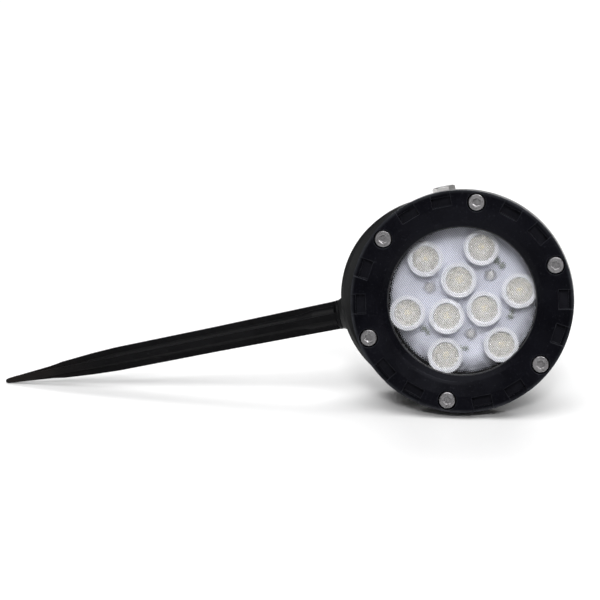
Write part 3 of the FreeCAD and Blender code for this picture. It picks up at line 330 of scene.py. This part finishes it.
# Painted shade darkens the board round its edge, reaching furthest in at the bottom.
EDGE_SHADE_RADIUS, EDGE_SHADE_RISE = 0.0348, 0.0062             # where it starts at the top, and how much further in below
EDGE_SHADE_HIGH, EDGE_SHADE_LOW = 0.012, -0.034                 # the places between which it comes further in
side, height = board.across_head()
lowness = board.span(height, EDGE_SHADE_HIGH, EDGE_SHADE_LOW)
edge_shade_start = board.math("SUBTRACT", EDGE_SHADE_RADIUS, board.times(lowness, EDGE_SHADE_RISE))
edge_shade = board.span(board.math("DIVIDE", board.head_radius(side, height), edge_shade_start), 0.96, 1.17)
edge_shade = board.times(edge_shade, board.span(board.noise(260.0, 4.0, 0.7), 0.35, 0.65, 0.45, 1.0))
# Painted shade: the board's edge is coloured darker.
board.paint_over(edge_shade, (0.075, 0.075, 0.085))
board.roughness(board.span(board.noise(300.0, 3.0, 0.5), 0.3, 0.7, 0.25, 0.45))
board.bump(tracks, 0.00002, 0.6)
board.bump(board.noise(1800.0, 2.0, 0.5), 0.000008)

# The chips' phosphor is a soft yellow gel.
gel = looks["phosphor"] = Shader("Phosphor gel", (0.92, 0.80, 0.46), 0.3)
gel.color(gel.mix(gel.span(gel.noise(1500.0, 3.0, 0.6), 0.35, 0.65), (0.90, 0.79, 0.47), (0.84, 0.70, 0.36)))
gel.roughness(gel.span(gel.noise(700.0), 0.3, 0.7, 0.2, 0.4))
gel.bump(gel.noise(1200.0), 0.00003)

# The front glass is smooth outside. Its pressed pattern blurs what is behind it a little, and shows as a
# fine weave of clearer and darker spots.
glass = looks["clear_glass"] = Shader("Patterned glass", (0.97, 0.98, 1.0), 0.03)
glass.set("Transmission Weight", 1.0)
glass.set("IOR", 1.50)
waves = [glass.math("SINE", glass.times(value, 2 * math.pi / PRISM_PITCH)) for value in glass.across_head()]
glass.color(glass.mix(glass.span(glass.times(*waves), -0.5, 0.3), (0.42, 0.43, 0.46), (1.0, 1.0, 1.0)))
glass.roughness(glass.span(glass.noise(45.0, 4.0, 0.6), 0.42, 0.72, 0.01, 0.04))
lets_light_in(glass)

# The lenses over the chips are slightly milky acrylic, covered in small facets.
lens = looks["lens_clear"] = Shader("Lens acrylic", (0.84, 0.84, 0.84), 0.12)
lens.set("Transmission Weight", 0.73)
lens.set("IOR", 1.40)
facets = lens.cells(760.0, 0.7)
lens.color(lens.mix(lens.span(facets, 0.25, 0.65), (1.0, 0.995, 0.975), (0.80, 0.79, 0.755)))
lens.bump(facets, 0.00050, 0.9)
lens.roughness(lens.span(lens.noise(500.0), 0.3, 0.7, 0.03, 0.10))
lets_light_in(lens, (0.98, 0.98, 0.97))


# ---------------------------------------------------------------- pieces made here
def head_point(x, y, z):
    """A point in the CAD nodes' frame, from its place along the head's axes, measured from the glass's middle."""
    return GLASS_MIDDLE + HEAD_X * x + HEAD_Y * y + HEAD_Z * z


def ring_of(edit, x, y, z, reaches):
    """Vertices evenly round a place on the head, each at its own distance."""
    turns = [2 * math.pi * k / len(reaches) for k in range(len(reaches))]
    return [edit.verts.new(head_point(x + reach * math.cos(t), y + reach * math.sin(t), z))
            for reach, t in zip(reaches, turns)]


def join_rings(edit, lower, upper):
    for k in range(len(lower)):
        edit.faces.new((lower[k - 1], lower[k], upper[k], upper[k - 1]))


def add_piece(name, mesh_edit, material, body, smooth=True):
    """Makes a piece with the given function and lets it ride on a body."""
    mesh = bpy.data.meshes.new(name)
    piece = bpy.data.objects.new(name, mesh)
    scene.collection.objects.link(piece)
    edit = bmesh.new()
    mesh_edit(edit)
    bmesh.ops.recalc_face_normals(edit, faces=edit.faces)
    for face in edit.faces:
        face.smooth = smooth
    edit.to_mesh(mesh)
    edit.free()
    mesh.materials.append(material)
    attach(piece, body)
    return piece


def patterned_glass(edit):
    """A round pane, smooth in front. Its inner face is pressed with a grid of shallow four-sided dimples."""
    count = int(PRISM_REACH / PRISM_PITCH) + 1
    corners = {}

    def corner(i, j):
        if (i, j) not in corners:
            corners[i, j] = edit.verts.new(head_point(i * PRISM_PITCH, j * PRISM_PITCH, -GLASS_HALF))
        return corners[i, j]

    for i in range(-count, count):
        for j in range(-count, count):
            x, y = (i + 0.5) * PRISM_PITCH, (j + 0.5) * PRISM_PITCH
            if math.hypot(x, y) > PRISM_REACH:
                continue
            square = [corner(i, j), corner(i + 1, j), corner(i + 1, j + 1), corner(i, j + 1)]
            middle = edit.verts.new(head_point(x, y, PRISM_DEPTH - GLASS_HALF))
            for a, b in zip(square, square[1:] + square[:1]):
                edit.faces.new((a, b, middle))
    pattern_edge = [e for e in edit.edges if e.is_boundary]
    face_radius = GLASS_RADIUS - GLASS_CHAMFER
    profile = ((face_radius, -GLASS_HALF), (GLASS_RADIUS, GLASS_CHAMFER - GLASS_HALF),
               (GLASS_RADIUS, GLASS_HALF - GLASS_CHAMFER), (face_radius, GLASS_HALF))
    rings = [ring_of(edit, 0, 0, z, [radius] * GLASS_SIDES) for radius, z in profile]
    for lower, upper in zip(rings, rings[1:]):
        join_rings(edit, upper, lower)
    edit.faces.new(rings[-1])
    inner_rim = [edit.edges.get((rings[0][k], rings[0][k - 1])) for k in range(GLASS_SIDES)]
    bmesh.ops.triangle_fill(edit, edges=pattern_edge + inner_rim, use_beauty=True)


RIM_TEETH = 44
RIM_ROOT, RIM_TIP = 0.0003, 0.0009           # how far the flange stands out between its teeth and at their tips
RIM_HEIGHT, RIM_OVERLAP = 0.0005, 0.0002


def toothed_rims(edit):
    """A thin toothed flange round the mouth of each lens holder."""
    for number in range(1, LENS_COUNT + 1):
        spans = [along("lens_holder_%d" % number, axis) for axis in HEAD_AXES]
        x, y = [sum(span) / 2 - GLASS_MIDDLE.dot(axis) for span, axis in zip(spans[:2], HEAD_AXES)]
        wall = half(spans[0])
        top = spans[2][1] - GLASS_MIDDLE.dot(HEAD_Z)
        inner = [wall - RIM_OVERLAP] * (2 * RIM_TEETH)
        outer = [wall + RIM_ROOT, wall + RIM_TIP] * RIM_TEETH
        rings = [ring_of(edit, x, y, z, reaches) for z, reaches in
                 ((top - RIM_HEIGHT, inner), (top - RIM_HEIGHT, outer), (top, outer), (top, inner))]
        for lower, upper in zip(rings, rings[1:] + rings[:1]):
            join_rings(edit, lower, upper)


PAD_RING, PAD_RADIUS, PAD_HEIGHT = 0.0249, 0.00175, 0.00055
PAD_PAIRS = (209.0, 258.0, 331.0)                   # where the pairs are round the board, in degrees
PAD_PAIR = ((-3.2, 0.9), (3.4, 0.75))               # each pad's turn from there in degrees, and its size
PAD_SIDES, PAD_LEVELS = 20, 5
WIRE_COVER = 0.0004                                 # solder over the end of a lead
SAME_WIRE = 0.0028                                  # points nearer than this are on one lead


def wire_ends():
    """Where each lead comes up through the board, across the head."""
    top = along("lead_wires", HEAD_Z)[1]
    found = []
    for vertex in nodes["lead_wires"].data.vertices:
        if vertex.co.dot(HEAD_Z) > top - WIRE_COVER:
            place = vertex.co - GLASS_MIDDLE
            spot = (place.dot(HEAD_X), place.dot(HEAD_Y))
            for group in found:
                if math.dist(group[0], spot) < SAME_WIRE:
                    group.append(spot)
                    break
            else:
                found.append([spot])
    return [tuple(sum(v) / len(group) for v in zip(*group)) for group in found]


def solder_joints(edit):
    """Low domes of solder on the board: one over each lead's end, and three pairs beside them."""
    spots = [(x, y, 1.0, WIRE_TOP - BOARD_TOP + WIRE_COVER) for x, y in wire_ends()]
    for angle in PAD_PAIRS:
        for turn, size in PAD_PAIR:
            t = math.radians(angle + turn)
            spots.append((PAD_RING * math.cos(t), PAD_RING * math.sin(t), size, PAD_HEIGHT * size))
    for x, y, size, rise in spots:
        rings = []
        for level in range(PAD_LEVELS):
            bend = level / PAD_LEVELS * math.pi / 2
            reaches = [PAD_RADIUS * size * math.cos(bend)] * PAD_SIDES
            rings.append(ring_of(edit, x, y, BOARD_TOP + rise * math.sin(bend), reaches))
        top = edit.verts.new(head_point(x, y, BOARD_TOP + rise))
        for lower, upper in zip(rings, rings[1:]):
            join_rings(edit, lower, upper)
        for k in range(PAD_SIDES):
            edit.faces.new((rings[-1][k - 1], rings[-1][k], top))
        edit.faces.new(rings[0])


pane = add_piece("patterned_glass", patterned_glass, looks["clear_glass"].material, "lamp_head", smooth=False)
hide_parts("front_glass")

rims = add_piece("toothed_rims", toothed_rims, looks["holder_white"].material, "lamp_head", smooth=False)

joints_made = add_piece("solder_joints", solder_joints, solder.material, "lamp_head")

for part in frame["record"]["subparts"]:
    body = nodes.get(part["node"])
    if body is not None:
        for held in body.material_slots:
            held.material = looks[part["material_slot"]].material
for held in nodes["rear_housing"].material_slots:
    held.material = housing.material

# ---------------------------------------------------------------- floor, light and camera
FLOOR_SIDE = 12.0
bpy.ops.mesh.primitive_plane_add(size=FLOOR_SIDE, location=(0, 0, 0))
floor = bpy.context.object
floor.name = "studio_floor"
paper = Shader("White studio floor", (0.93, 0.93, 0.93), 0.4, specular=0.25)
paper.color(paper.mix(paper.span(paper.noise(3.0), 0.3, 0.7), (0.93, 0.93, 0.93), (0.95, 0.95, 0.95)))
paper.roughness(paper.span(paper.noise(40.0), 0.3, 0.7, 0.30, 0.36))
floor.data.materials.append(paper.material)

world = bpy.data.worlds.new("Studio")
world.use_nodes = True
world.node_tree.nodes["Background"].inputs["Color"].default_value = (1.0, 1.0, 1.0, 1.0)
world.node_tree.nodes["Background"].inputs["Strength"].default_value = 0.12
scene.world = world
scene.view_settings.view_transform = "Standard"
scene.view_settings.look = "None"
scene.view_settings.exposure = 0.0


def softbox(name, place, aim, size, power):
    """A rectangular lamp of a size in metres and a power in watts."""
    data = bpy.data.lights.new(name, "AREA")
    data.shape, data.size, data.size_y, data.energy = "RECTANGLE", size[0], size[1], power
    lamp = bpy.data.objects.new(name, data)
    lamp.location = place
    lamp.rotation_mode = "QUATERNION"
    lamp.rotation_quaternion = (Vector(aim) - Vector(place)).to_track_quat("-Z", "Y")
    scene.collection.objects.link(lamp)
    return lamp


softbox("key_light", (0.24, -1.45, 1.05), (0.0, 0.0, 0.02), (0.34, 0.28), 11.5)
softbox("top_light", (0.05, -0.35, 1.36), (0.03, 0.0, 0.0), (1.7, 1.2), 19.0)
# The sweep lights the floor behind the object, and isn't mirrored in the object.
sweep = softbox("sweep_light", (0.0, 2.6, 2.2), (0.0, 2.1, 0.0), (4.0, 1.6), 118.0)
sweep.visible_glossy = False

CAMERA_AZIMUTH, CAMERA_ELEVATION, CAMERA_ROLL = math.radians(6.5), math.radians(18.5), math.radians(-0.75)
CAMERA_DISTANCE, CAMERA_LENS = 1.6, 190.0
CAMERA_TARGET = Vector((0.0062, 0.0, 0.0450))
camera_data = bpy.data.cameras.new("Camera")
camera_data.lens = CAMERA_LENS
camera = bpy.data.objects.new("Camera", camera_data)
back = Vector((math.sin(CAMERA_AZIMUTH) * math.cos(CAMERA_ELEVATION),
               -math.cos(CAMERA_AZIMUTH) * math.cos(CAMERA_ELEVATION),
               math.sin(CAMERA_ELEVATION)))
camera.location = CAMERA_TARGET + back * CAMERA_DISTANCE
camera.rotation_mode = "QUATERNION"
level_view = (-back).to_track_quat("-Z", "Y")
camera.rotation_quaternion = level_view @ Matrix.Rotation(CAMERA_ROLL, 4, "Z").to_quaternion()
scene.collection.objects.link(camera)
scene.camera = camera
